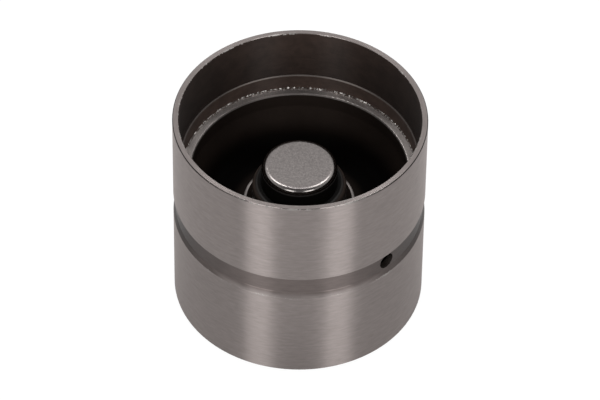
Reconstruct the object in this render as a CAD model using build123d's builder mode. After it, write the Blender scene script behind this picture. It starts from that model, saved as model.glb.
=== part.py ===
"""Hydraulic bucket tappet, standing on its cam face with the open skirt upwards.

Millimetres. The origin is the centre of the cam face and +Z runs up the axis, towards the skirt's rim.
"""

import os
from math import sqrt

from build123d import *

os.makedirs("parts", exist_ok=True)

# Bucket
bucket_diameter = 35.0
bucket_height = 32.2
head_thickness = 3.2
head_corner_radius = 1.5
body_wall = 1.25
skirt_wall = 0.84
skirt_depth = 7.7
cam_edge_chamfer = 0.3
rim_outer_chamfer = 0.12
rim_inner_chamfer = 0.08
shoulder_edge_radius = 0.15

# Oil groove round the bucket and the feed hole in it
groove_top_height = 18.4
groove_floor_width = 2.75
groove_slope_width = 0.95
groove_depth = 0.3
groove_bevel = 0.08
oil_hole_height = 16.95
oil_hole_diameter = 2.4
oil_hole_angle = -45.3

# Recess across the inside of the head that lets oil under the piston
recess_length = 15.0
recess_width = 3.0
recess_depth = 0.7

# Web dish, drawn from sheet
sheet_thickness = 1.25
dish_rim_depth = 10.15
dish_band_height = 2.4
dish_depth = 7.3
dish_wall_lean = 2.2
dish_wall_bend = 1.4
dish_floor_bend = 2.6
collar_height = 1.35
collar_bend = 0.95
collar_lead_in = 0.85
sheet_edge_radius = 0.18
press_interference = 0.02
stake_width = 0.22
stake_height = 0.3

# Guide tube and the inner housing that slides in it
housing_radius = 5.27
guide_clearance = 0.03
guide_wall = 1.25
guide_length = 10.7
guide_rise = 5.1
guide_top_radius = 0.9
guide_mouth_chamfer = 0.15
housing_rise = 8.35
housing_cap_thickness = 2.15
housing_edge_radius = 0.82
housing_foot_chamfer = 0.3

# Snap ring in the inner housing's groove
ring_thickness = 0.9
ring_groove_depth = 0.5
ring_overhang = 0.9
ring_gap = 3.0
ring_clearance = 0.05
ring_land = 1.6

# Piston with its valve seat
piston_radius = 4.0
leak_gap = 0.015
chamber_height = 7.4
piston_bore_radius = 2.4
piston_crown = 1.8
port_radius = 1.1
seat_chamfer = 0.35
piston_edge_chamfer = 0.2

# Check valve
ball_radius = 1.8
ball_seat_gap = 0.02
cap_sheet = 0.35
cap_flange_radius = 3.75
cap_bore_radius = 2.05
cap_inner_height = 4.1
cap_window_radius = 0.6
cap_window_count = 4
ball_wire = 0.22
ball_coil_radius = 0.95
ball_spring_turns = 3
ball_spring_gap = 0.03

# Return spring
return_wire = 0.6
return_coil_radius = 3.15
return_spring_turns = 5

# Heights and radii that follow
bucket_radius = bucket_diameter / 2
body_bore_radius = bucket_radius - body_wall
skirt_bore_radius = bucket_radius - skirt_wall
shoulder_height = bucket_height - skirt_depth
groove_floor_radius = bucket_radius - groove_depth
groove_floor_foot = groove_top_height - groove_floor_width
groove_slope_foot = groove_floor_foot - groove_slope_width
dish_rim_height = bucket_height - dish_rim_depth
dish_floor_height = dish_rim_height - dish_depth
collar_top_height = dish_floor_height + collar_height
guide_bore_radius = housing_radius + guide_clearance
guide_outer_radius = guide_bore_radius + guide_wall
guide_top_height = dish_floor_height + guide_rise
guide_foot_height = guide_top_height - guide_length
ring_groove_top = guide_foot_height
ring_groove_width = ring_thickness + 2 * ring_clearance
ring_groove_radius = housing_radius - ring_groove_depth
housing_top_height = dish_floor_height + housing_rise
housing_foot_height = ring_groove_top - ring_groove_width - ring_land
housing_length = housing_top_height - housing_foot_height
housing_bore_radius = piston_radius + leak_gap
chamber_top_height = housing_top_height - housing_cap_thickness
piston_top_height = chamber_top_height - chamber_height
piston_length = piston_top_height - head_thickness

# Bucket shell: one turned and ground steel cup
with BuildPart() as bucket_shell:
    with BuildSketch(Plane.XZ):
        with BuildLine():
            Polyline(
                (0, 0),
                (bucket_radius, 0),
                (bucket_radius, bucket_height),
                (skirt_bore_radius, bucket_height),
                (skirt_bore_radius, shoulder_height),
                (body_bore_radius, shoulder_height),
                (body_bore_radius, head_thickness),
                (0, head_thickness),
                close=True,
            )
        make_face()
    revolve(axis=Axis.Z)

    circles = bucket_shell.edges().filter_by(GeomType.CIRCLE)
    cam_edge = circles.group_by(Axis.Z)[0]
    rim_inner_edge, rim_outer_edge = circles.group_by(Axis.Z)[-1].sort_by(SortBy.RADIUS)
    head_corner = circles.filter_by(lambda edge: abs(edge.center().Z - head_thickness) < 0.01)
    shoulder_circles = circles.filter_by(lambda edge: abs(edge.center().Z - shoulder_height) < 0.01)
    chamfer(cam_edge, length=cam_edge_chamfer)
    chamfer(rim_outer_edge, length=rim_outer_chamfer)
    chamfer(rim_inner_edge, length=rim_inner_chamfer)
    fillet(head_corner, radius=head_corner_radius)
    fillet(shoulder_circles.sort_by(SortBy.RADIUS)[0], radius=shoulder_edge_radius)

    # Oil groove: square above, with a sloping side below
    with BuildSketch(Plane.XZ):
        with BuildLine():
            Polyline(
                (bucket_radius, groove_slope_foot),
                (groove_floor_radius, groove_floor_foot),
                (groove_floor_radius, groove_top_height),
                (bucket_radius - groove_bevel, groove_top_height),
                (bucket_radius, groove_top_height + groove_bevel),
                close=True,
            )
        make_face()
    revolve(axis=Axis.Z, mode=Mode.SUBTRACT)

    # Feed hole, drilled from the groove through the wall
    hole_plane = Plane.XY.rotated((0, 0, oil_hole_angle)).offset(oil_hole_height)
    with BuildSketch(Plane(origin=hole_plane.origin, x_dir=hole_plane.y_dir, z_dir=hole_plane.x_dir)):
        Circle(oil_hole_diameter / 2)
    extrude(amount=bucket_radius, mode=Mode.SUBTRACT)

    # Oil recess across the inside of the head
    with BuildSketch(Plane.XY.offset(head_thickness)):
        SlotOverall(recess_length, recess_width)
    extrude(amount=-recess_depth, mode=Mode.SUBTRACT)

    # Edge staked over the dish's band
    with BuildSketch(Plane.XZ):
        with BuildLine():
            Polyline(
                (body_bore_radius, dish_rim_height),
                (body_bore_radius - stake_width, dish_rim_height),
                (body_bore_radius, dish_rim_height + stake_height),
                close=True,
            )
        make_face()
    revolve(axis=Axis.Z)

bucket_shell.part.label = "bucket_shell"
export_step(bucket_shell.part, "parts/bucket_shell.step")

# Web dish: one sheet, from its band down the wall, along the floor and up the collar
sheet_half = sheet_thickness / 2
band_middle_radius = body_bore_radius + press_interference - sheet_half
floor_middle_height = dish_floor_height - sheet_half
collar_middle_radius = guide_outer_radius - press_interference + sheet_half

with BuildPart() as web_dish:
    with BuildSketch(Plane.XZ):
        with BuildLine():
            FilletPolyline(
                (band_middle_radius, dish_rim_height),
                (band_middle_radius, dish_rim_height - dish_band_height),
                (band_middle_radius - dish_wall_lean, floor_middle_height),
                (collar_middle_radius, floor_middle_height),
                (collar_middle_radius, collar_top_height),
                radius=[dish_wall_bend, dish_floor_bend, collar_bend],
            )
        trace(line_width=sheet_thickness)
    revolve(axis=Axis.Z)

    # Lead-in for the guide tube, then the sheet's cut edges lose their corners
    circles = web_dish.edges().filter_by(GeomType.CIRCLE)
    collar_circles = circles.filter_by(lambda edge: abs(edge.center().Z - collar_top_height) < 0.01)
    chamfer(collar_circles.sort_by(SortBy.RADIUS)[0], length=collar_lead_in)
    circles = web_dish.edges().filter_by(GeomType.CIRCLE)
    collar_circles = circles.filter_by(lambda edge: abs(edge.center().Z - collar_top_height) < 0.01)
    fillet(collar_circles, radius=sheet_edge_radius)
    circles = web_dish.edges().filter_by(GeomType.CIRCLE)
    fillet(circles.group_by(Axis.Z)[-1].sort_by(SortBy.RADIUS)[0], radius=sheet_edge_radius)

web_dish.part.label = "web_dish"
export_step(web_dish.part, "parts/web_dish.step")

# Guide tube: held in the dish's collar, with a rounded top
with BuildPart() as guide_tube:
    with BuildSketch(Plane.XY.offset(guide_foot_height)):
        Circle(guide_outer_radius)
        Circle(guide_bore_radius, mode=Mode.SUBTRACT)
    extrude(amount=guide_length)
    mouth_edge, top_edge = guide_tube.edges().group_by(Axis.Z)[-1].sort_by(SortBy.RADIUS)
    foot_edges = guide_tube.edges().group_by(Axis.Z)[0]
    fillet(top_edge, radius=guide_top_radius)
    chamfer(mouth_edge, length=guide_mouth_chamfer)
    chamfer(foot_edges, length=guide_mouth_chamfer)

guide_tube.part.label = "guide_tube"
export_step(guide_tube.part, "parts/guide_tube.step")

# Inner housing: the pressure cylinder, closed by the button that bears on the valve stem
with BuildPart() as inner_housing:
    with BuildSketch(Plane.XY.offset(housing_foot_height)):
        Circle(housing_radius)
    extrude(amount=housing_length)
    button_edge = inner_housing.edges().group_by(Axis.Z)[-1]
    foot_edge = inner_housing.edges().group_by(Axis.Z)[0]
    fillet(button_edge, radius=housing_edge_radius)
    chamfer(foot_edge, length=housing_foot_chamfer)
    with BuildSketch(Plane.XY.offset(housing_foot_height)):
        Circle(housing_bore_radius)
    extrude(amount=housing_length - housing_cap_thickness, mode=Mode.SUBTRACT)
    with BuildSketch(Plane.XY.offset(ring_groove_top)):
        Circle(housing_radius + guide_clearance)
        Circle(ring_groove_radius, mode=Mode.SUBTRACT)
    extrude(amount=-ring_groove_width, mode=Mode.SUBTRACT)

inner_housing.part.label = "inner_housing"
export_step(inner_housing.part, "parts/inner_housing.step")

# Retaining ring: open ring of flat wire that stops under the guide tube
with BuildPart() as retaining_ring:
    with BuildSketch(Plane.XY.offset(ring_groove_top - ring_clearance)):
        Circle(housing_radius + ring_overhang)
        Circle(ring_groove_radius + ring_clearance, mode=Mode.SUBTRACT)
        with Locations((housing_radius, 0)):
            Rectangle(2 * housing_radius, ring_gap, mode=Mode.SUBTRACT)
    extrude(amount=-ring_thickness)

retaining_ring.part.label = "retaining_ring"
export_step(retaining_ring.part, "parts/retaining_ring.step")

# Piston: stands on the head, hollow below, with the valve seat in its crown
with BuildPart() as piston:
    with BuildSketch(Plane.XY.offset(head_thickness)):
        Circle(piston_radius)
    extrude(amount=piston_length)
    chamfer(piston.edges().group_by(Axis.Z)[-1], length=piston_edge_chamfer)
    with BuildSketch(Plane.XY.offset(head_thickness)):
        Circle(piston_bore_radius)
    extrude(amount=piston_length - piston_crown, mode=Mode.SUBTRACT)
    with BuildSketch(Plane.XY.offset(piston_top_height)):
        Circle(port_radius)
    extrude(amount=-piston_crown, mode=Mode.SUBTRACT)
    seat_edge = piston.edges().filter_by(GeomType.CIRCLE).group_by(Axis.Z)[-1].sort_by(SortBy.RADIUS)[0]
    chamfer(seat_edge, length=seat_chamfer)

piston.part.label = "piston"
export_step(piston.part, "parts/piston.step")

# Check ball: touches the 45 degree seat where its own surface leans as much
seat_foot_height = piston_top_height - seat_chamfer
ball_height = seat_foot_height + ball_radius * sqrt(2) - port_radius + ball_seat_gap

with BuildPart() as check_ball:
    with BuildSketch(Plane.XZ):
        with BuildLine():
            CenterArc((0, ball_height), ball_radius, -90, 180)
            Line((0, ball_height + ball_radius), (0, ball_height - ball_radius))
        make_face()
    revolve(axis=Axis.Z)

check_ball.part.label = "check_ball"
export_step(check_ball.part, "parts/check_ball.step")

# Valve cap: drawn cap with a flange on the piston, open at its windows
cap_ceiling_height = piston_top_height + cap_inner_height

with BuildPart() as valve_cap:
    with BuildSketch(Plane.XZ):
        with BuildLine():
            Polyline(
                (cap_bore_radius, piston_top_height),
                (cap_flange_radius, piston_top_height),
                (cap_flange_radius, piston_top_height + cap_sheet),
                (cap_bore_radius + cap_sheet, piston_top_height + cap_sheet),
                (cap_bore_radius + cap_sheet, cap_ceiling_height + cap_sheet),
                (0, cap_ceiling_height + cap_sheet),
                (0, cap_ceiling_height),
                (cap_bore_radius, cap_ceiling_height),
                close=True,
            )
        make_face()
    revolve(axis=Axis.Z)
    cap_top_edge = valve_cap.edges().filter_by(GeomType.CIRCLE).group_by(Axis.Z)[-1]
    fillet(cap_top_edge, radius=cap_sheet)
    window_height = piston_top_height + cap_inner_height / 2
    for index in range(cap_window_count // 2):
        window_plane = Plane.XZ.rotated((0, 0, index * 360 / cap_window_count))
        with BuildSketch(window_plane):
            with Locations((0, window_height)):
                Circle(cap_window_radius)
        extrude(amount=2 * cap_bore_radius, both=True, mode=Mode.SUBTRACT)

valve_cap.part.label = "valve_cap"
export_step(valve_cap.part, "parts/valve_cap.step")

# Ball spring: from the ball's crown to the cap's ceiling
ball_crown_height = ball_height + sqrt(ball_radius**2 - ball_coil_radius**2)
ball_spring_foot = ball_crown_height + ball_wire + ball_spring_gap
ball_spring_top = cap_ceiling_height - ball_wire / 2
ball_spring_rise = ball_spring_top - ball_spring_foot

with BuildPart() as ball_spring:
    with BuildLine(Plane.XY.offset(ball_spring_foot)) as ball_coil:
        Helix(pitch=ball_spring_rise / ball_spring_turns, height=ball_spring_rise, radius=ball_coil_radius)
    with BuildSketch(ball_coil.line ^ 0):
        Circle(ball_wire / 2)
    sweep(is_frenet=True)

ball_spring.part.label = "ball_spring"
export_step(ball_spring.part, "parts/ball_spring.step")

# Return spring: from the cap's flange to the roof of the pressure chamber
return_spring_foot = piston_top_height + cap_sheet + return_wire / 2
return_spring_rise = chamber_top_height - return_wire / 2 - return_spring_foot

with BuildPart() as return_spring:
    with BuildLine(Plane.XY.offset(return_spring_foot)) as return_coil:
        Helix(
            pitch=return_spring_rise / return_spring_turns,
            height=return_spring_rise,
            radius=return_coil_radius,
        )
    with BuildSketch(return_coil.line ^ 0):
        Circle(return_wire / 2)
    sweep(is_frenet=True)

return_spring.part.label = "return_spring"
export_step(return_spring.part, "parts/return_spring.step")
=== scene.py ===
from math import cos, pi, radians, sin

import bpy
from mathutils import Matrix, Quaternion, Vector


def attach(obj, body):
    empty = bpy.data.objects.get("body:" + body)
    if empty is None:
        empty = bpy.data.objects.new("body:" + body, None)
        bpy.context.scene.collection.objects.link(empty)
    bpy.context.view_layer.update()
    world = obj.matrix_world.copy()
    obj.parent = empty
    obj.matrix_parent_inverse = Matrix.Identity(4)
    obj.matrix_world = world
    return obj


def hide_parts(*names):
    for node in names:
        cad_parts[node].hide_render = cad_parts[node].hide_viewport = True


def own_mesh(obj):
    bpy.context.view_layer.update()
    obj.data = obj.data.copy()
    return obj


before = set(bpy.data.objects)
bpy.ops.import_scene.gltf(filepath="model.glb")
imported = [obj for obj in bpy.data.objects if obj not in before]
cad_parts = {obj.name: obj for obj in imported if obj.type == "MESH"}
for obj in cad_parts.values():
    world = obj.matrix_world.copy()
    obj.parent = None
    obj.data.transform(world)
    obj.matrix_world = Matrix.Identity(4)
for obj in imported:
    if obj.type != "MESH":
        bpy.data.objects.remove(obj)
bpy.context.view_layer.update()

bpy.ops.object.select_all(action="DESELECT")


# Bucket shell
# A cold-formed steel cup, hardened and then centreless ground on its outside, so fine lines run round it.
# The groove was turned before hardening and keeps a darker skin; the inside keeps its brown heat tint.
mm = 0.001


def link_or_set(tree, socket, value):
    """Links a socket to a socket, or writes a value into it."""
    if isinstance(value, bpy.types.NodeSocket):
        tree.links.new(value, socket)
    else:
        socket.default_value = value


def add(tree, kind, inputs=None, **settings):
    """Adds a node, then sets its settings and sets or links its inputs."""
    node = tree.nodes.new(kind)
    for name, value in settings.items():
        setattr(node, name, value)
    for name, value in (inputs or {}).items():
        link_or_set(tree, node.inputs[name], value)
    return node


def calc(tree, operation, first, second=0.0, third=0.0):
    """The result of one sum on values or sockets."""
    node = add(tree, "ShaderNodeMath", {0: first, 1: second, 2: third}, operation=operation)
    return node.outputs[0]


def ramp(tree, value, low, high, start=0.0, end=1.0):
    """A smooth change from start to end as the value goes from low to high."""
    inputs = {"Value": value, "From Min": low, "From Max": high, "To Min": start, "To Max": end}
    node = add(tree, "ShaderNodeMapRange", inputs, interpolation_type="SMOOTHSTEP")
    return node.outputs["Result"]


def times(tree, first, *others):
    """Masks or tones multiplied together."""
    for other in others:
        first = calc(tree, "MULTIPLY", first, other)
    return first


def between(tree, value, low, high, soft):
    """A mask that is 1 from low to high and fades out over the soft distance outside them."""
    return times(tree, ramp(tree, value, low - soft, low), ramp(tree, value, high, high + soft, 1.0, 0.0))


def vary(tree, pattern, low, high):
    """A pattern that goes from 0 to 1, made to go from low to high."""
    return calc(tree, "MULTIPLY_ADD", pattern, high - low, low)


def tint(tree, tone, mask, change):
    """A tone changed by a share of itself where a mask is 1: -0.2 makes it a fifth darker."""
    return times(tree, tone, calc(tree, "MULTIPLY_ADD", mask, change, 1.0))


def blend_colour(tree, share, first, second):
    """One colour turning into another by a mask."""
    node = tree.nodes.new("ShaderNodeMix")
    node.data_type = "RGBA"
    inputs = {"Factor": share, "A": first, "B": second}
    for socket in node.inputs:
        if socket.enabled and socket.name in inputs:
            link_or_set(tree, socket, inputs[socket.name])
    return next(socket for socket in node.outputs if socket.enabled)


def shade(tree, colour, tone):
    """A colour made darker or lighter by a value near 1."""
    node = add(tree, "ShaderNodeVectorMath", {0: colour, "Scale": tone}, operation="SCALE")
    return node.outputs[0]


def new_group(name, inputs, outputs):
    """An empty node group with float inputs and outputs, and its two end nodes."""
    group = bpy.data.node_groups.new(name, "ShaderNodeTree")
    for socket_name, default in inputs.items():
        socket = group.interface.new_socket(socket_name, in_out="INPUT", socket_type="NodeSocketFloat")
        socket.default_value = default
    for socket_name in outputs:
        group.interface.new_socket(socket_name, in_out="OUTPUT", socket_type="NodeSocketFloat")
    entry = group.nodes.new("NodeGroupInput").outputs
    leave = group.nodes.new("NodeGroupOutput").inputs
    return group, entry, leave


def use(tree, group, inputs=None):
    """Places a node group in a material and gives its outputs."""
    node = tree.nodes.new("ShaderNodeGroup")
    node.node_tree = group
    for name, value in (inputs or {}).items():
        link_or_set(tree, node.inputs[name], value)
    return node.outputs


def point_in_mm(tree):
    """The point on the piece, in millimetres."""
    point = add(tree, "ShaderNodeTexCoord").outputs["Object"]
    return add(tree, "ShaderNodeVectorMath", {0: point, "Scale": 1 / mm}, operation="SCALE").outputs[0]


def parts_in_mm(tree):
    """The same point's X, Y and Z, each by itself."""
    return add(tree, "ShaderNodeSeparateXYZ", {"Vector": point_in_mm(tree)}).outputs


def to_the_sides(tree, near, far, start, end):
    """A smooth change from the middle plane out to both sides, in millimetres across."""
    sideways = calc(tree, "ABSOLUTE", parts_in_mm(tree)["X"])
    return ramp(tree, sideways, near, far, start, end)


def along(tree, direction):
    """How far a point lies from the axis in a direction, in millimetres."""
    inputs = {0: point_in_mm(tree), 1: direction}
    return add(tree, "ShaderNodeVectorMath", inputs, operation="DOT_PRODUCT").outputs["Value"]


# Where a point lies on a turned part: its distance from the axis and its height
turned_place, _, leave = new_group("Place on a turned part", {}, ["Radius mm", "Height mm"])
part = parts_in_mm(turned_place)
flat_point = add(turned_place, "ShaderNodeCombineXYZ", {"X": part["X"], "Y": part["Y"]}).outputs[0]
distance = add(turned_place, "ShaderNodeVectorMath", {0: flat_point}, operation="LENGTH").outputs["Value"]
turned_place.links.new(distance, leave["Radius mm"])
turned_place.links.new(part["Z"], leave["Height mm"])

# Tool lines round a turned part: they follow the height on a wall and the radius on a face
tool_lines, entry, leave = new_group(
    "Tool lines", {"Lines per mm": 12.0, "Length mm": 6.0, "Detail": 4.0, "Shift": 0.0}, ["Lines"]
)
place = use(tool_lines, turned_place)
across = calc(tool_lines, "ADD", place["Radius mm"], place["Height mm"])
across = calc(tool_lines, "MULTIPLY_ADD", across, entry["Lines per mm"], entry["Shift"])
part = parts_in_mm(tool_lines)
stretched = add(
    tool_lines,
    "ShaderNodeCombineXYZ",
    {
        "X": calc(tool_lines, "DIVIDE", part["X"], entry["Length mm"]),
        "Y": calc(tool_lines, "DIVIDE", part["Y"], entry["Length mm"]),
        "Z": across,
    },
).outputs[0]
noise = add(
    tool_lines,
    "ShaderNodeTexNoise",
    {"Vector": stretched, "Scale": 1.0, "Detail": entry["Detail"], "Roughness": 0.6},
)
tool_lines.links.new(noise.outputs[0], leave["Lines"])

# Blotches of handling, heat tint and oil film
blotches, entry, leave = new_group("Blotches", {"Size mm": 4.0, "Detail": 5.0, "Shift": 0.0}, ["Blotches"])
inputs = {0: point_in_mm(blotches), 1: entry["Shift"]}
moved = add(blotches, "ShaderNodeVectorMath", inputs, operation="ADD").outputs[0]
noise = add(
    blotches,
    "ShaderNodeTexNoise",
    {
        "Vector": moved,
        "Scale": calc(blotches, "DIVIDE", 1.0, entry["Size mm"]),
        "Detail": entry["Detail"],
        "Roughness": 0.65,
    },
)
blotches.links.new(noise.outputs[0], leave["Blotches"])

# Nicks: small bare spots, gathered in places. A larger share lowers the edge that a spot has to pass.
nicks, entry, leave = new_group("Nicks", {"Size mm": 0.25, "Share": 0.2, "Shift": 0.0}, ["Nicks"])
small = use(nicks, blotches, {"Size mm": entry["Size mm"], "Detail": 1.5, "Shift": entry["Shift"]})
wide = use(nicks, blotches, {"Size mm": 3.5, "Detail": 1.0, "Shift": entry["Shift"]})
sum_of_both = calc(nicks, "MULTIPLY_ADD", wide["Blotches"], 0.8, small["Blotches"])
edge = calc(nicks, "MULTIPLY_ADD", entry["Share"], -0.5, 1.12)
spots = ramp(nicks, calc(nicks, "SUBTRACT", sum_of_both, edge), 0.0, 0.05)
nicks.links.new(spots, leave["Nicks"])


def new_steel(name, roughness, anisotropy=0.0, metallic=1.0, specular=0.5):
    """A material with one metal shader; with anisotropy, its tool lines run round the axis."""
    material = bpy.data.materials.new(name)
    material.use_nodes = True
    tree = material.node_tree
    shader = tree.nodes["Principled BSDF"]
    shader.inputs["Metallic"].default_value = metallic
    shader.inputs["Specular IOR Level"].default_value = specular
    shader.inputs["Roughness"].default_value = roughness
    shader.inputs["Anisotropic"].default_value = anisotropy
    if anisotropy:
        tangent = add(tree, "ShaderNodeTangent", direction_type="RADIAL", axis="Z")
        tree.links.new(tangent.outputs[0], shader.inputs["Tangent"])
        shader.inputs["Anisotropic Rotation"].default_value = 0.25
    return material, tree, shader


def roughen(tree, shader, height, depth_mm, strength=1.0):
    """Gives a shader its fine relief."""
    bump = add(tree, "ShaderNodeBump", {"Height": height, "Strength": strength, "Distance": depth_mm * mm})
    tree.links.new(bump.outputs[0], shader.inputs["Normal"])


def dress(node_name, material):
    """Gives a CAD node its finish."""
    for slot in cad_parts[node_name].material_slots:
        slot.material = material


ground_colour = (0.300, 0.264, 0.253, 1.0)
bare_colour = (0.36, 0.335, 0.32, 1.0)
glint_colour = (0.40, 0.38, 0.36, 1.0)
groove_colour = (0.176, 0.148, 0.140, 1.0)
inside_colour = (0.036, 0.0240, 0.0195, 1.0)
# The shoulder's edge colour below is a painted highlight
shoulder_highlight_colour = (0.105, 0.090, 0.083, 1.0)
hole_shade_colour = (0.018, 0.014, 0.012, 1.0)

# Sizes of the shell in millimetres. The inside's foot is just under the dish's band, and a crisp mask
# fades out over a very short distance.
ground_radius = 17.5
rim_height = 32.2
rim_chamfer = 0.12
skirt_radius = 16.66
bore_radius = 16.25
shoulder_height = 24.5
inside_foot = 21.9
groove_foot = 14.7
groove_floor_foot = 15.65
groove_top = 18.4
groove_floor_radius = 17.2
oil_hole_angle = radians(-45.3)
oil_hole_height = 16.95
oil_hole_radius = 1.2
crisp = 0.03

shell_steel, tree, shader = new_steel("ground shell steel", 0.37, 1.0, specular=0.15)
place = use(tree, turned_place)
radius = place["Radius mm"]
height = place["Height mm"]
fine = use(tree, tool_lines, {"Lines per mm": 13.0, "Length mm": 4.0})["Lines"]
coarse = use(tree, tool_lines, {"Lines per mm": 3.2, "Length mm": 1.6, "Detail": 3.0, "Shift": 5.0})["Lines"]
cloud = use(tree, blotches, {"Size mm": 5.0})["Blotches"]
stain = use(tree, blotches, {"Size mm": 2.2, "Detail": 6.0, "Shift": 11.0})["Blotches"]

# The groove's dark skin fades out down its sloping lower side; at the part's sides painted shade covers all
# of the slope and makes the skin darker towards the sides
in_groove = between(tree, height, groove_foot + 0.02, groove_top, crisp)
floor_skin = ramp(tree, radius, groove_floor_radius + 0.02, ground_radius - crisp, 1.0, 0.0)
slope_shade = ramp(tree, radius, ground_radius - 0.025, ground_radius - 0.05)
slope_shade = times(tree, slope_shade, to_the_sides(tree, 8.0, 12.0, 0.0, 1.0))
groove_share = times(tree, in_groove, calc(tree, "MAXIMUM", floor_skin, slope_shade))
# Painted shade: the skin's colour gets darker towards the part's sides
groove_side_shade = times(tree, to_the_sides(tree, 8.0, 13.0, 1.0, 0.70), to_the_sides(tree, 12.5, 16.5, 1.0, 0.55))
colour = blend_colour(tree, groove_share, ground_colour, shade(tree, groove_colour[:3], groove_side_shade))

# The inside has a blotchy heat tint and is lighter below the shoulder; painted light makes it lighter
# towards the rim, and painted shade makes it darker at the sides above the shoulder
on_inside = ramp(tree, radius, skirt_radius + 0.05, skirt_radius + 0.02)
inside_share = times(tree, on_inside, ramp(tree, height, inside_foot - 0.1, inside_foot))
darker_tint = shade(tree, inside_colour[:3], 0.72)
stain_and_shade = blend_colour(tree, ramp(tree, stain, 0.35, 0.65), darker_tint, inside_colour)
above_shoulder = ramp(tree, height, shoulder_height - 0.1, shoulder_height)
# Painted light towards the rim and painted shade at the sides, on top of the heat tint
inside_tone = times(
    tree,
    ramp(tree, height, shoulder_height + 1.5, rim_height - 0.2, 1.0, 1.35),
    vary(tree, above_shoulder, 1.8, 1.0),
    calc(tree, "POWER", to_the_sides(tree, 3.0, 13.0, 1.0, 0.58), above_shoulder),
)
stain_and_shade = shade(tree, stain_and_shade, inside_tone)

# The shoulder's rounded edge carries a painted highlight, brightest about 6 mm to either side of the middle
shoulder_edge = times(
    tree,
    between(tree, height, shoulder_height - 0.13, shoulder_height + crisp, crisp),
    ramp(tree, radius, bore_radius + 0.19, bore_radius + 0.13),
)
highlight_tone = times(tree, to_the_sides(tree, 2.0, 5.0, 0.6, 1.0), to_the_sides(tree, 6.5, 11.5, 2.1, 0.9))
stain_and_shade = blend_colour(tree, shoulder_edge, stain_and_shade, shade(tree, shoulder_highlight_colour[:3], highlight_tone))
colour = blend_colour(tree, inside_share, colour, stain_and_shade)

# The oil hole's own wall is painted near black, as shade inside the hole
above_hole = calc(tree, "SUBTRACT", height, oil_hole_height)
across_hole = along(tree, (-sin(oil_hole_angle), cos(oil_hole_angle), 0.0))
towards_hole = along(tree, (cos(oil_hole_angle), sin(oil_hole_angle), 0.0))
squares = calc(tree, "MULTIPLY_ADD", above_hole, above_hole, times(tree, across_hole, across_hole))
hole_share = times(
    tree,
    ramp(tree, calc(tree, "SQRT", squares), oil_hole_radius + 0.05, oil_hole_radius + 0.005),
    ramp(tree, radius, groove_floor_radius - 0.02, groove_floor_radius - 0.05),
    ramp(tree, towards_hole, 0.0, 1.0),
)
colour = blend_colour(tree, hole_share, colour, hole_shade_colour)

# Bare nicks along the rim's inner edge and the groove's foot
inner_edge = times(
    tree,
    between(tree, radius, skirt_radius - 0.04, skirt_radius + 0.20, 0.06),
    ramp(tree, height, rim_height - 0.2, rim_height - 0.1),
)
groove_edge = times(
    tree,
    between(tree, height, groove_foot - 0.15, groove_foot + 0.15, 0.05),
    ramp(tree, radius, ground_radius - 0.2, ground_radius - 0.1),
)
rim_nicks = use(tree, nicks, {"Size mm": 0.40, "Share": 0.26, "Shift": 3.0})["Nicks"]
few_nicks = use(tree, nicks, {"Size mm": 0.22, "Share": 0.20, "Shift": 7.0})["Nicks"]
bare = calc(tree, "MAXIMUM", times(tree, inner_edge, rim_nicks), times(tree, groove_edge, few_nicks))
colour = blend_colour(tree, bare, colour, bare_colour)

# Painted glints, spotty and in a row like beads, along the front and back of the rim's outer chamfer
chamfer_foot = rim_height - rim_chamfer
chamfer_radius = ground_radius - rim_chamfer
chamfer_glints = times(
    tree,
    ramp(tree, radius, chamfer_radius - 0.04, chamfer_radius),
    ramp(tree, height, chamfer_foot - 0.05, chamfer_foot),
    use(tree, nicks, {"Size mm": 0.40, "Share": 0.50, "Shift": 9.0})["Nicks"],
    to_the_sides(tree, 10.0, 13.0, 1.0, 0.0),
)
colour = blend_colour(tree, chamfer_glints, colour, glint_colour)

# The cam face is lapped, and a run-in ring round its middle shines
worn_ring = times(
    tree,
    ramp(tree, height, 0.06, 0.01),
    between(tree, radius, 3.0, 12.5, 2.5),
    ramp(tree, cloud, 0.2, 0.6, 0.6, 1.0),
)

# Other lands: painted light makes the outer chamfer bright in the middle and painted shade dark at the
# sides, painted shade darkens the groove's slope on both sides of the middle, painted light lightens the
# land above the groove at the sides, and the rim's face is darker
chamfer_middle = to_the_sides(tree, 1.5, 3.5, -0.35, 0.40)
chamfer_tint = calc(tree, "ADD", chamfer_middle, to_the_sides(tree, 7.0, 13.0, 0.0, 0.48))
outer_chamfer = times(
    tree,
    ramp(tree, radius, chamfer_radius - 0.02, chamfer_radius + 0.01),
    ramp(tree, height, chamfer_foot - crisp, chamfer_foot),
    chamfer_tint,
)
slope = times(
    tree,
    between(tree, height, groove_foot + 0.08, groove_floor_foot - 0.15, 0.08),
    to_the_sides(tree, 1.5, 4.0, 0.10, 0.36),
    to_the_sides(tree, 6.5, 8.5, 1.0, 0.0),
)
upper_land = times(
    tree,
    ramp(tree, height, groove_top - 0.1, groove_top + 0.2),
    ramp(tree, radius, ground_radius - 0.2, ground_radius - 0.1),
    to_the_sides(tree, 7.5, 10.0, 0.0, 0.11),
)
rim_face = times(
    tree,
    ramp(tree, height, rim_height - 0.1, rim_height - crisp),
    ramp(tree, radius, skirt_radius + 0.04, skirt_radius + 0.08),
)

# The tool lines and blotches make the colour a little uneven, and the masks above shift it land by land, the
# chamfer, slope and upper land with painted light and shade
tone = times(tree, vary(tree, fine, 0.93, 1.07), vary(tree, coarse, 0.78, 1.22))
tone = times(tree, tone, vary(tree, cloud, 0.95, 1.05))
tone_changes = (
    (worn_ring, 0.35),
    (outer_chamfer, -1.0),
    (slope, -1.0),
    (upper_land, 1.0),
    (rim_face, -0.20),
)
for mask, change in tone_changes:
    tone = tint(tree, tone, mask, change)
tree.links.new(shade(tree, colour, tone), shader.inputs["Base Color"])

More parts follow.
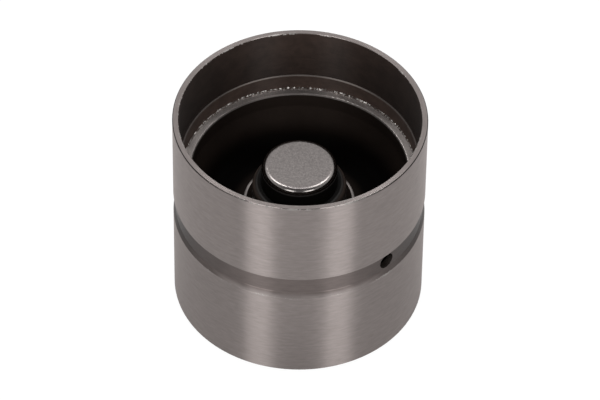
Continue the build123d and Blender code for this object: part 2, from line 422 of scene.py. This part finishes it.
# The ground steel's roughness is 0.35, and each kind of surface adds to it or takes from it
roughness = 0.35
roughness_changes = (
    (inside_share, 0.15),
    (groove_share, -0.09),
    (rim_face, -0.26),
    (worn_ring, -0.15),
    (bare, -0.05),
    (chamfer_glints, 0.25),
    (cloud, 0.04),
)
for mask, change in roughness_changes:
    roughness = calc(tree, "MULTIPLY_ADD", mask, change, roughness)
tree.links.new(roughness, shader.inputs["Roughness"])

# The heat tint and the hole's painted dark wall are set as oxide, which isn't a metal
oxide = calc(tree, "MAXIMUM", inside_share, hole_share)
tree.links.new(calc(tree, "SUBTRACT", 1.0, oxide), shader.inputs["Metallic"])
roughen(tree, shader, calc(tree, "ADD", fine, coarse), 0.008, 0.15)
dress("bucket_shell", shell_steel)


# Staked lip
# The shell's bore was pressed over the dish's band by a tool that left a torn, bright lip all the way round.
# It is a thin ring with a six-sided section, made uneven by noise.
lip_radius = 16.15 * mm
lip_height = 22.13 * mm
lip_thickness = 0.12 * mm
lip_colour = (0.165, 0.150, 0.142, 1.0)
chip_colour = (0.36, 0.338, 0.323, 1.0)
bpy.ops.mesh.primitive_circle_add(
    vertices=6, radius=lip_thickness, location=(lip_radius, 0, lip_height), rotation=(pi / 2, 0, 0)
)
staked_lip = bpy.context.object
staked_lip.name = "staked_lip"
bpy.ops.object.transform_apply(location=True, rotation=True, scale=True)
bpy.ops.object.mode_set(mode="EDIT")
bpy.ops.mesh.select_all(action="SELECT")
bpy.ops.mesh.spin(steps=1200, angle=2 * pi, center=(0, 0, 0), axis=(0, 0, 1))
bpy.ops.mesh.select_all(action="SELECT")
bpy.ops.mesh.remove_doubles(threshold=0.001 * mm)
bpy.ops.mesh.normals_make_consistent(inside=False)
bpy.ops.object.mode_set(mode="OBJECT")

torn = bpy.data.textures.new("torn steel", "CLOUDS")
torn.noise_scale = 0.22 * mm
torn.noise_depth = 3
tear = staked_lip.modifiers.new("tear", "DISPLACE")
tear.texture = torn
tear.texture_coords = "LOCAL"
tear.mid_level = 0.5
tear.strength = 0.50 * mm
bpy.ops.object.modifier_apply(modifier=tear.name)
bpy.ops.object.shade_smooth_by_angle(angle=radians(30))

lip_steel, tree, shader = new_steel("torn lip steel", 0.36)
chips = use(tree, nicks, {"Size mm": 0.20, "Share": 0.88, "Shift": 2.0})["Nicks"]
tree.links.new(blend_colour(tree, chips, lip_colour, chip_colour), shader.inputs["Base Color"])
staked_lip.data.materials.append(lip_steel)
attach(staked_lip, "bucket")
bpy.ops.object.select_all(action="DESELECT")


# Web dish
# Deep-drawn steel sheet, pressed into the bucket. It was blackened in heat treatment and carries an oil
# film; its band and its cut edges are rubbed a little brighter, and the collar's edge has a painted
# highlight.
black_steel_colour = (0.0125, 0.0090, 0.0074, 1.0)
rubbed_and_highlight_colour = (0.395, 0.36, 0.345, 1.0)
band_height = 22.05
band_inner_radius = 15.0
dish_floor_height = 14.75
collar_height = 16.1
collar_radius = 7.78

dish_steel, tree, shader = new_steel("blackened dish steel", 0.32, 0.8, metallic=0.0, specular=0.015)
place = use(tree, turned_place)
radius = place["Radius mm"]
height = place["Height mm"]
fine = use(tree, tool_lines, {"Lines per mm": 9.0, "Length mm": 3.0, "Shift": 20.0})["Lines"]
cloud = use(tree, blotches, {"Size mm": 3.0, "Detail": 6.0, "Shift": 4.0})["Blotches"]
gritty = use(tree, blotches, {"Size mm": 0.18, "Detail": 3.0, "Shift": 17.0})["Blotches"]

# Rubbed places: the band and a little of the edge where it bends down; the collar's edge, except at the
# back, has a painted highlight
band = times(
    tree,
    ramp(tree, height, band_height - 0.05, band_height - 0.01),
    ramp(tree, radius, band_inner_radius + 0.10, band_inner_radius + 0.18),
)
dish_edge = times(
    tree,
    between(tree, radius, band_inner_radius - 0.10, band_inner_radius + 0.16, crisp),
    ramp(tree, height, band_height - 0.25, band_height - 0.15),
)
collar_highlight = times(
    tree,
    ramp(tree, height, collar_height - 0.8, collar_height - 0.6),
    between(tree, radius, collar_radius - 0.36, collar_radius + 0.08, 0.05),
    ramp(tree, parts_in_mm(tree)["Y"], 4.4, 2.8, 0.0, 0.6),
)
rubbed_and_highlight = calc(tree, "MAXIMUM", times(tree, dish_edge, 0.22), collar_highlight)
rubbed_and_highlight = calc(tree, "MAXIMUM", rubbed_and_highlight, times(tree, band, ramp(tree, gritty, 0.3, 0.7, 0.60, 1.08)))
colour = blend_colour(tree, rubbed_and_highlight, black_steel_colour, rubbed_and_highlight_colour)

# Painted shade makes the black deepest on the floor away from the collar and at the sides, painted light
# makes it lighter up the walls, and painted light and shade make the band darkest in the middle
floor_shade = ramp(tree, radius, collar_radius + 2.12, collar_radius + 0.62, 0.2, 2.0)
tone = times(
    tree,
    vary(tree, cloud, 0.75, 1.25),
    ramp(tree, height, dish_floor_height + 0.25, dish_floor_height + 3.75, floor_shade, 2.3),
    to_the_sides(tree, 3.0, 12.0, 0.78, 0.45),
)
band_tone = times(tree, to_the_sides(tree, 1.0, 5.0, 0.55, 1.0), to_the_sides(tree, 6.5, 10.0, 1.0, 1.3))
tone = times(tree, calc(tree, "MAXIMUM", tone, rubbed_and_highlight), calc(tree, "POWER", band_tone, band))
tree.links.new(shade(tree, colour, tone), shader.inputs["Base Color"])
tree.links.new(calc(tree, "MINIMUM", rubbed_and_highlight, 1.0), shader.inputs["Metallic"])
roughness = calc(tree, "MULTIPLY_ADD", cloud, 0.16, vary(tree, rubbed_and_highlight, 0.42, 0.24))
tree.links.new(roughness, shader.inputs["Roughness"])
roughen(tree, shader, fine, 0.01, 0.2)
dress("web_dish", dish_steel)


# Guide tube
# Turned steel bush with a rounded top, pressed into the dish's collar, in which the inner housing slides.
# It was blackened in heat treatment and burnished, so it is dark and glossy.
tube_radius = 6.55
tube_steel, tree, shader = new_steel("burnished tube steel", 0.50, metallic=0.0, specular=0.35)
radius = use(tree, turned_place)["Radius mm"]
fine = use(tree, tool_lines, {"Lines per mm": 10.0, "Length mm": 5.0, "Shift": 40.0})["Lines"]
cloud = use(tree, blotches, {"Size mm": 2.5, "Shift": 15.0})["Blotches"]

# The mouth is matte and painted dark as shade; the rounded top edge has a painted brown sheen at both sides
in_mouth = ramp(tree, radius, tube_radius - 0.60, tube_radius - 0.80)
sheen = times(
    tree,
    between(tree, radius, tube_radius - 0.30, tube_radius - 0.07, 0.15),
    to_the_sides(tree, 4.0, 5.8, 0.0, 2.6),
)
tone = times(tree, vary(tree, cloud, 0.7, 1.3), vary(tree, in_mouth, 1.0, 0.2))
tone = times(tree, tone, calc(tree, "ADD", sheen, 1.0))
tree.links.new(shade(tree, black_steel_colour[:3], tone), shader.inputs["Base Color"])
roughness = calc(tree, "MULTIPLY_ADD", cloud, 0.12, vary(tree, in_mouth, 0.45, 0.90))
tree.links.new(roughness, shader.inputs["Roughness"])
roughen(tree, shader, fine, 0.006, 0.2)
dress("guide_tube", tube_steel)


# Inner housing
# Extruded pressure cylinder. Its closed end is the button on the valve stem: a fine matte face with a
# rounded edge that handling has polished and that is painted lighter as a highlight, and sides painted near
# black as painted shade for the dark cavity they mirror.
button_colour = (0.173, 0.157, 0.152, 1.0)
button_edge_highlight_colour = (0.245, 0.225, 0.216, 1.0)
housing_side_shade_colour = (0.007, 0.006, 0.005, 1.0)
button_height = 23.1
button_steel, tree, shader = new_steel("button steel", 0.30, specular=0.15)
height = use(tree, turned_place)["Height mm"]
grain = use(tree, blotches, {"Size mm": 0.24, "Detail": 4.0})["Blotches"]
cloud = use(tree, blotches, {"Size mm": 3.0, "Shift": 8.0})["Blotches"]

# Only the face is grainy; the edge is plain and painted lighter as a highlight, and the side below it is
# painted near black as shade
face = ramp(tree, height, button_height - 0.06, button_height - 0.01)
shaded_side = ramp(tree, height, button_height - 0.60, button_height - 1.10)
colour = blend_colour(tree, face, button_edge_highlight_colour, button_colour)
colour = blend_colour(tree, shaded_side, colour, housing_side_shade_colour)
matte = times(tree, vary(tree, grain, 0.25, 1.75), vary(tree, cloud, 0.94, 1.06))
tone = tint(tree, 1.0, face, calc(tree, "SUBTRACT", matte, 1.0))
tree.links.new(shade(tree, colour, tone), shader.inputs["Base Color"])
tree.links.new(calc(tree, "SUBTRACT", 1.0, shaded_side), shader.inputs["Metallic"])
roughness = calc(tree, "MULTIPLY_ADD", face, 0.06, vary(tree, shaded_side, 0.17, 0.57))
tree.links.new(roughness, shader.inputs["Roughness"])
roughen(tree, shader, times(tree, grain, face), 0.012, 0.3)
dress("inner_housing", button_steel)


# Retaining ring
# Snap ring of flat wire, oil tempered, sprung into the inner housing's groove under the guide tube.
# It stops the housing from sliding out of the tube.
spring_colour = (0.10, 0.10, 0.11)
ring_steel, tree, shader = new_steel("oil tempered wire", 0.35)
drawn = use(tree, tool_lines, {"Lines per mm": 7.0, "Length mm": 4.0, "Shift": 60.0})["Lines"]
cloud = use(tree, blotches, {"Size mm": 1.2, "Shift": 21.0})["Blotches"]
tree.links.new(shade(tree, spring_colour, vary(tree, cloud, 0.7, 1.3)), shader.inputs["Base Color"])
tree.links.new(vary(tree, cloud, 0.25, 0.45), shader.inputs["Roughness"])
roughen(tree, shader, drawn, 0.006, 0.2)
dress("retaining_ring", ring_steel)


# Piston
# Hollow steel piston, hardened, then ground and lapped to fit the inner housing's bore.
# It stands on the inside of the head and carries the seat of the check valve in its top.
piston_colour = (0.42, 0.41, 0.40)
piston_steel, tree, shader = new_steel("lapped piston steel", 0.22, 0.6)
fine = use(tree, tool_lines, {"Lines per mm": 16.0, "Length mm": 5.0, "Shift": 80.0})["Lines"]
tree.links.new(shade(tree, piston_colour, vary(tree, fine, 0.92, 1.08)), shader.inputs["Base Color"])
roughen(tree, shader, fine, 0.004, 0.15)
dress("piston", piston_steel)


# Check ball
# Polished ball of hard bearing steel that closes the port in the piston's top.
# Its spring holds it in its seat, and the valve cap keeps both in place.
ball_colour = (0.62, 0.62, 0.63)
ball_steel, tree, shader = new_steel("polished ball steel", 0.08)
cloud = use(tree, blotches, {"Size mm": 0.8, "Shift": 31.0})["Blotches"]
tree.links.new(shade(tree, ball_colour, vary(tree, cloud, 0.97, 1.03)), shader.inputs["Base Color"])
tree.links.new(vary(tree, cloud, 0.05, 0.11), shader.inputs["Roughness"])
dress("check_ball", ball_steel)


# Valve cap
# Cap drawn from thin steel sheet, with four windows for the oil.
# It stands on the piston's crown and cages the ball and its spring.
cap_colour = (0.36, 0.35, 0.34)
cap_steel, tree, shader = new_steel("drawn cap sheet", 0.30)
drawn = use(tree, blotches, {"Size mm": 0.5, "Detail": 4.0, "Shift": 12.0})["Blotches"]
tree.links.new(shade(tree, cap_colour, vary(tree, drawn, 0.85, 1.15)), shader.inputs["Base Color"])
roughen(tree, shader, drawn, 0.01, 0.2)
dress("valve_cap", cap_steel)


# Ball spring and return spring
# Coils of round oil tempered wire. Each shortens as its joint moves away from rest; a copy of the coil
# stands for each spring.
def coil_copy(node_name, piece_name):
    """A copy of a spring's mesh, with its loose triangles joined, that stands for the spring."""
    bpy.ops.object.select_all(action="DESELECT")
    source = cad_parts[node_name]
    source.select_set(True)
    bpy.context.view_layer.objects.active = source
    bpy.ops.object.duplicate()
    piece = bpy.context.object
    piece.name = piece_name
    bpy.ops.object.mode_set(mode="EDIT")
    bpy.ops.mesh.select_all(action="SELECT")
    bpy.ops.mesh.remove_doubles(threshold=0.001 * mm)
    bpy.ops.object.mode_set(mode="OBJECT")
    bpy.ops.object.shade_smooth_by_angle(angle=radians(40))
    piece.data.materials.clear()
    piece.data.materials.append(ring_steel)
    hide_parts(node_name)
    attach(piece, "bucket")
    bpy.ops.object.select_all(action="DESELECT")
    return piece


ball_coil = coil_copy("ball_spring", "ball_spring_coil")
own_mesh(ball_coil)
return_coil = coil_copy("return_spring", "return_spring_coil")
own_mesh(return_coil)


# Studio
# A white table in a white room that is darker above the object and towards the camera. Two tall, narrow
# panels at the front make the upright bands on the body, and two softboxes high behind it light the button's
# rounded edge.
white_colour = (1.0, 1.0, 1.0, 1.0)


def toward(azimuth, elevation):
    """The direction from the object to a place in the room."""
    around = radians(azimuth)
    lift = radians(elevation)
    return Vector((cos(around) * cos(lift), sin(around) * cos(lift), sin(lift)))


# The table's white sheet is mostly seen as lit from within, and mostly mirrored as plain paper
sheet_size = 3.0
floor_seen = 0.85
floor_mirrored = 0.15
paper_white = 0.85
glow_white = 1.08
floor_gap = 0.02 * mm
bpy.ops.mesh.primitive_plane_add(size=sheet_size, location=(0, 0, -floor_gap))
floor = bpy.context.object
floor.name = "floor"
white = bpy.data.materials.new("white table")
white.use_nodes = True
tree = white.node_tree
tree.nodes.clear()
path = add(tree, "ShaderNodeLightPath").outputs

# Reflections see the table with painted shade: darker at the object's sides, less so behind it, and with a
# painted shadow round its foot
place = parts_in_mm(tree)
sideways = calc(tree, "ABSOLUTE", place["X"])
sideways = calc(tree, "SUBTRACT", sideways, calc(tree, "MAXIMUM", place["Y"], 0.0))
from_axis = add(tree, "ShaderNodeVectorMath", {0: point_in_mm(tree)}, operation="LENGTH").outputs["Value"]
table_side_shade = ramp(tree, sideways, 8.0, 32.0, 1.0, 0.72)
table_foot_shadow = ramp(tree, from_axis, 18.0, 44.0, 0.84, 1.0)
falloff = calc(tree, "POWER", times(tree, table_side_shade, table_foot_shadow), path["Is Glossy Ray"])

paper_colour = shade(tree, white_colour[:3], times(tree, falloff, paper_white))
paper = add(tree, "ShaderNodeBsdfDiffuse", {"Color": paper_colour})
glow = add(tree, "ShaderNodeEmission", {"Color": white_colour, "Strength": times(tree, falloff, glow_white)})
share = times(tree, path["Is Camera Ray"], floor_seen)
share = calc(tree, "MULTIPLY_ADD", path["Is Glossy Ray"], floor_mirrored, share)
shown = add(tree, "ShaderNodeMixShader", {0: share, 1: paper.outputs[0], 2: glow.outputs[0]}).outputs[0]
underneath = add(tree, "ShaderNodeNewGeometry").outputs["Backfacing"]
clear = add(tree, "ShaderNodeBsdfTransparent").outputs[0]
shown = add(tree, "ShaderNodeMixShader", {0: underneath, 1: shown, 2: clear}).outputs[0]
add(tree, "ShaderNodeOutputMaterial", {"Surface": shown})
white.cycles.emission_sampling = "NONE"
floor.data.materials.append(white)

# The room is pure white to the camera. Reflections see it fall to a low level above and towards the camera,
# and rough surfaces get a soft light from it.
dark_lean = Vector((0, -0.3, 1))
dark_from = 0.55
dark_to = 0.98
dark_level = 0.2
soft_light = 0.38
world = bpy.data.worlds.new("white room")
world.use_nodes = True
tree = world.node_tree
tree.nodes.clear()
path = add(tree, "ShaderNodeLightPath").outputs
direction = add(tree, "ShaderNodeTexCoord").outputs["Generated"]
inputs = {0: direction, 1: dark_lean}
facing = add(tree, "ShaderNodeVectorMath", inputs, operation="DOT_PRODUCT").outputs["Value"]
inputs = {"Value": facing, "From Min": dark_from, "From Max": dark_to, "To Min": 1.0, "To Max": dark_level}
room = add(tree, "ShaderNodeMapRange", inputs).outputs["Result"]
mirrored = times(tree, room, path["Is Glossy Ray"])
unseen = calc(tree, "SUBTRACT", 1.0, calc(tree, "MAXIMUM", path["Is Camera Ray"], path["Is Glossy Ray"]))
strength = calc(tree, "ADD", mirrored, path["Is Camera Ray"])
strength = calc(tree, "MULTIPLY_ADD", unseen, soft_light, strength)
sky = add(tree, "ShaderNodeBackground", {"Color": white_colour, "Strength": strength})
add(tree, "ShaderNodeOutputWorld", {"Surface": sky.outputs[0]})
world.cycles.sampling_method = "NONE"
bpy.context.scene.world = world

# The lights look at the object's middle. One with 3.14 watts to a square metre is as bright as the room's
# white.
middle_height = 16.0 * mm


def add_panel(name, azimuth, elevation, reach, width, tall, power):
    """A soft rectangular light, with its power given in watts to a square metre."""
    back = toward(azimuth, elevation)
    centre = Vector((0, 0, middle_height))
    bpy.ops.object.light_add(type="AREA", location=centre + back * reach)
    lamp = bpy.context.object
    lamp.name = name
    lamp.rotation_euler = (-back).to_track_quat("-Z", "Y").to_euler()
    lamp.data.shape = "RECTANGLE"
    lamp.data.size = width
    lamp.data.size_y = tall
    lamp.data.energy = power * width * tall


add_panel("panel_left", -120.5, 28, reach=0.45, width=0.155, tall=0.50, power=11.0)
add_panel("panel_right", -57.6, 28, reach=0.45, width=0.165, tall=0.50, power=11.0)
add_panel("softbox_left", 117, 60, reach=0.7, width=0.23, tall=0.15, power=30.0)
add_panel("softbox_right", 64, 60, reach=0.7, width=0.23, tall=0.15, power=30.0)

# The camera looks down at 46 degrees through a long lens, rolled by less than a degree
camera_elevation = 45.76
camera_distance = 0.62088
camera_roll = radians(0.774)
aim = Vector((0.12, 1.41, 14.67)) * mm
back = toward(-90, camera_elevation)
bpy.ops.object.camera_add(location=aim + back * camera_distance)
camera = bpy.context.object
camera.data.sensor_width = 36.0
camera.data.lens = 266.8
camera.rotation_mode = "QUATERNION"
camera.rotation_quaternion = (-back).to_track_quat("-Z", "Y") @ Quaternion((0, 0, 1), camera_roll)
camera.data.clip_start = 0.05
camera.data.clip_end = 10.0
bpy.context.scene.camera = camera
bpy.context.scene.view_settings.view_transform = "Standard"
